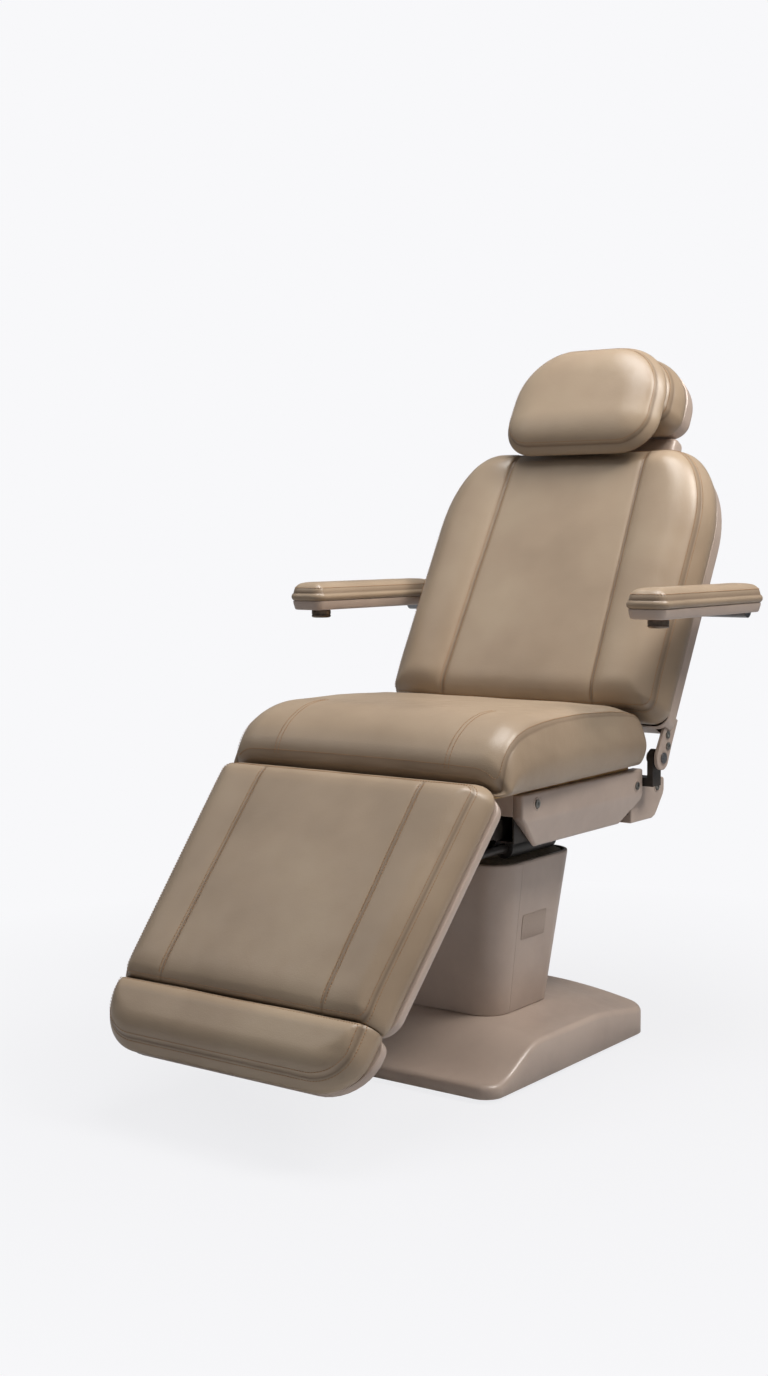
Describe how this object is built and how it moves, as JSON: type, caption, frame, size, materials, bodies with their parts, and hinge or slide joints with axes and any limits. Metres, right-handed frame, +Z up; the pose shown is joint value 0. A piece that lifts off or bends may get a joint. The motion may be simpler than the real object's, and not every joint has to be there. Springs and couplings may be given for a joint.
{
  "type": "examination chair",
  "caption": "Powered examination chair with lift column, reclining back, sliding headrest, folding armrests and a rising, telescoping leg rest.",
  "frame": {"origin": "on the floor under the middle of the floor base, where its middle rubber pad stands", "axes": "+Z up, +Y from the foot end towards the backrest, +X to the sitter's left"},
  "size_m": [0.836, 1.3606, 1.3365],
  "materials": {
    "vinyl": "satin",
    "cover_paint": "satin",
    "frame_paint": "satin",
    "black_plastic": "matte",
    "chrome": "polished",
    "steel": "brushed",
    "plywood": "sawn",
    "boot_cloth": "matte",
    "rubber": "matte"
  },
  "bodies": {
    "base": {"base_plate": "frame_paint", "base_cover": "cover_paint", "levelling_feet": "rubber", "column_outer": "steel", "lift_actuator": "black_plastic", "column_shroud_front": "cover_paint", "column_shroud_rear": "cover_paint", "blank_plate": "steel"},
    "seat": {"boot": "boot_cloth", "column_inner": "steel", "lift_rod": "chrome", "seat_frame": "frame_paint", "side_cover_left": "cover_paint", "side_cover_right": "cover_paint", "cover_screws": "steel", "front_cover": "cover_paint", "rear_cover_left": "cover_paint", "rear_cover_right": "cover_paint", "seat_board": "plywood", "seat_cushion": "vinyl", "back_pivot_pins": "steel", "back_actuator": "black_plastic", "leg_actuator": "black_plastic", "control_box": "black_plastic"},
    "back_drive": {"back_rod": "chrome"},
    "leg_drive": {"leg_rod": "chrome"},
    "back": {"back_frame": "frame_paint", "hinge_plate_left": "cover_paint", "hinge_plate_right": "cover_paint", "plate_screws": "steel", "back_shell": "cover_paint", "back_board": "plywood", "back_cushion": "vinyl", "stem_sleeves": "steel", "arm_axles": "steel"},
    "neck": {"head_stems": "chrome", "neck_cover": "cover_paint", "head_pin": "steel"},
    "head": {"head_shell": "cover_paint", "head_cushion": "vinyl", "head_pillow": "vinyl"},
    "arm_left": {"arm_bar_left": "frame_paint", "arm_tray_left": "cover_paint", "arm_pad_left": "vinyl"},
    "knob_left": {"arm_knob_left": "chrome"},
    "arm_right": {"arm_bar_right": "frame_paint", "arm_tray_right": "cover_paint", "arm_pad_right": "vinyl"},
    "knob_right": {"arm_knob_right": "chrome"},
    "leg_frame": {"leg_shaft": "steel", "leg_arms": "frame_paint"},
    "leg_rest": {"leg_tray": "cover_paint", "leg_cushion": "vinyl", "leg_runners": "frame_paint"},
    "foot": {"foot_tray": "cover_paint", "foot_cushion": "vinyl", "foot_rods": "chrome"}
  },
  "joints": [
    {"name": "lift", "type": "slide", "parent": "base", "child": "seat", "axis": [0, 0, 1], "range_m": [0, 0.25], "deforming": ["boot"]},
    {"name": "back_recline", "type": "hinge", "parent": "seat", "child": "back", "pos_m": [0, 0.245, 0.538], "axis": [-1, 0, 0], "range_deg": [0, 61.6]},
    {"name": "back_drive", "type": "slide", "parent": "seat", "child": "back_drive", "axis": [0, -1, 0], "range_m": [0, 0.093]},
    {"name": "leg_raise", "type": "hinge", "parent": "seat", "child": "leg_frame", "pos_m": [0, -0.212, 0.455], "axis": [-1, 0, 0], "range_deg": [0, 49]},
    {"name": "leg_drive", "type": "slide", "parent": "seat", "child": "leg_drive", "axis": [0, -1, 0], "range_m": [0, 0.0505]},
    {"name": "leg_extend", "type": "slide", "parent": "leg_frame", "child": "leg_rest", "axis": [0, -0.6561, -0.7547], "range_m": [0, 0.1205]},
    {"name": "foot_extend", "type": "slide", "parent": "leg_rest", "child": "foot", "axis": [0, -0.6561, -0.7547], "range_m": [0, 0.08]},
    {"name": "headrest_height", "type": "slide", "parent": "back", "child": "neck", "axis": [0, 0.4756, 0.8796], "range_m": [0, 0.09]},
    {"name": "headrest_tilt", "type": "hinge", "parent": "neck", "child": "head", "pos_m": [0, 0.5974, 1.19564], "axis": [-1, 0, 0], "range_deg": [0, 20]},
    {"name": "arm_left_fold", "type": "hinge", "parent": "back", "child": "arm_left", "pos_m": [0.376, 0.388, 0.811], "axis": [-1, 0, 0], "range_deg": [-62, 110]},
    {"name": "knob_left_turn", "type": "hinge", "parent": "arm_left", "child": "knob_left", "pos_m": [0.376, 0.06, 0.8], "axis": [0, 0, 1], "continuous": true},
    {"name": "arm_right_fold", "type": "hinge", "parent": "back", "child": "arm_right", "pos_m": [-0.376, 0.388, 0.811], "axis": [-1, 0, 0], "range_deg": [-62, 110]},
    {"name": "knob_right_turn", "type": "hinge", "parent": "arm_right", "child": "knob_right", "pos_m": [-0.376, 0.06, 0.8], "axis": [0, 0, 1], "continuous": true}
  ],
  "couplings": [
    {"joint": "back_drive", "follows": "back_recline", "m_per_rad": 0.0858},
    {"joint": "leg_drive", "follows": "leg_raise", "m_per_rad": 0.05823},
    {"joint": "leg_extend", "follows": "leg_raise", "m_per_rad": 0.14032}
  ]
}
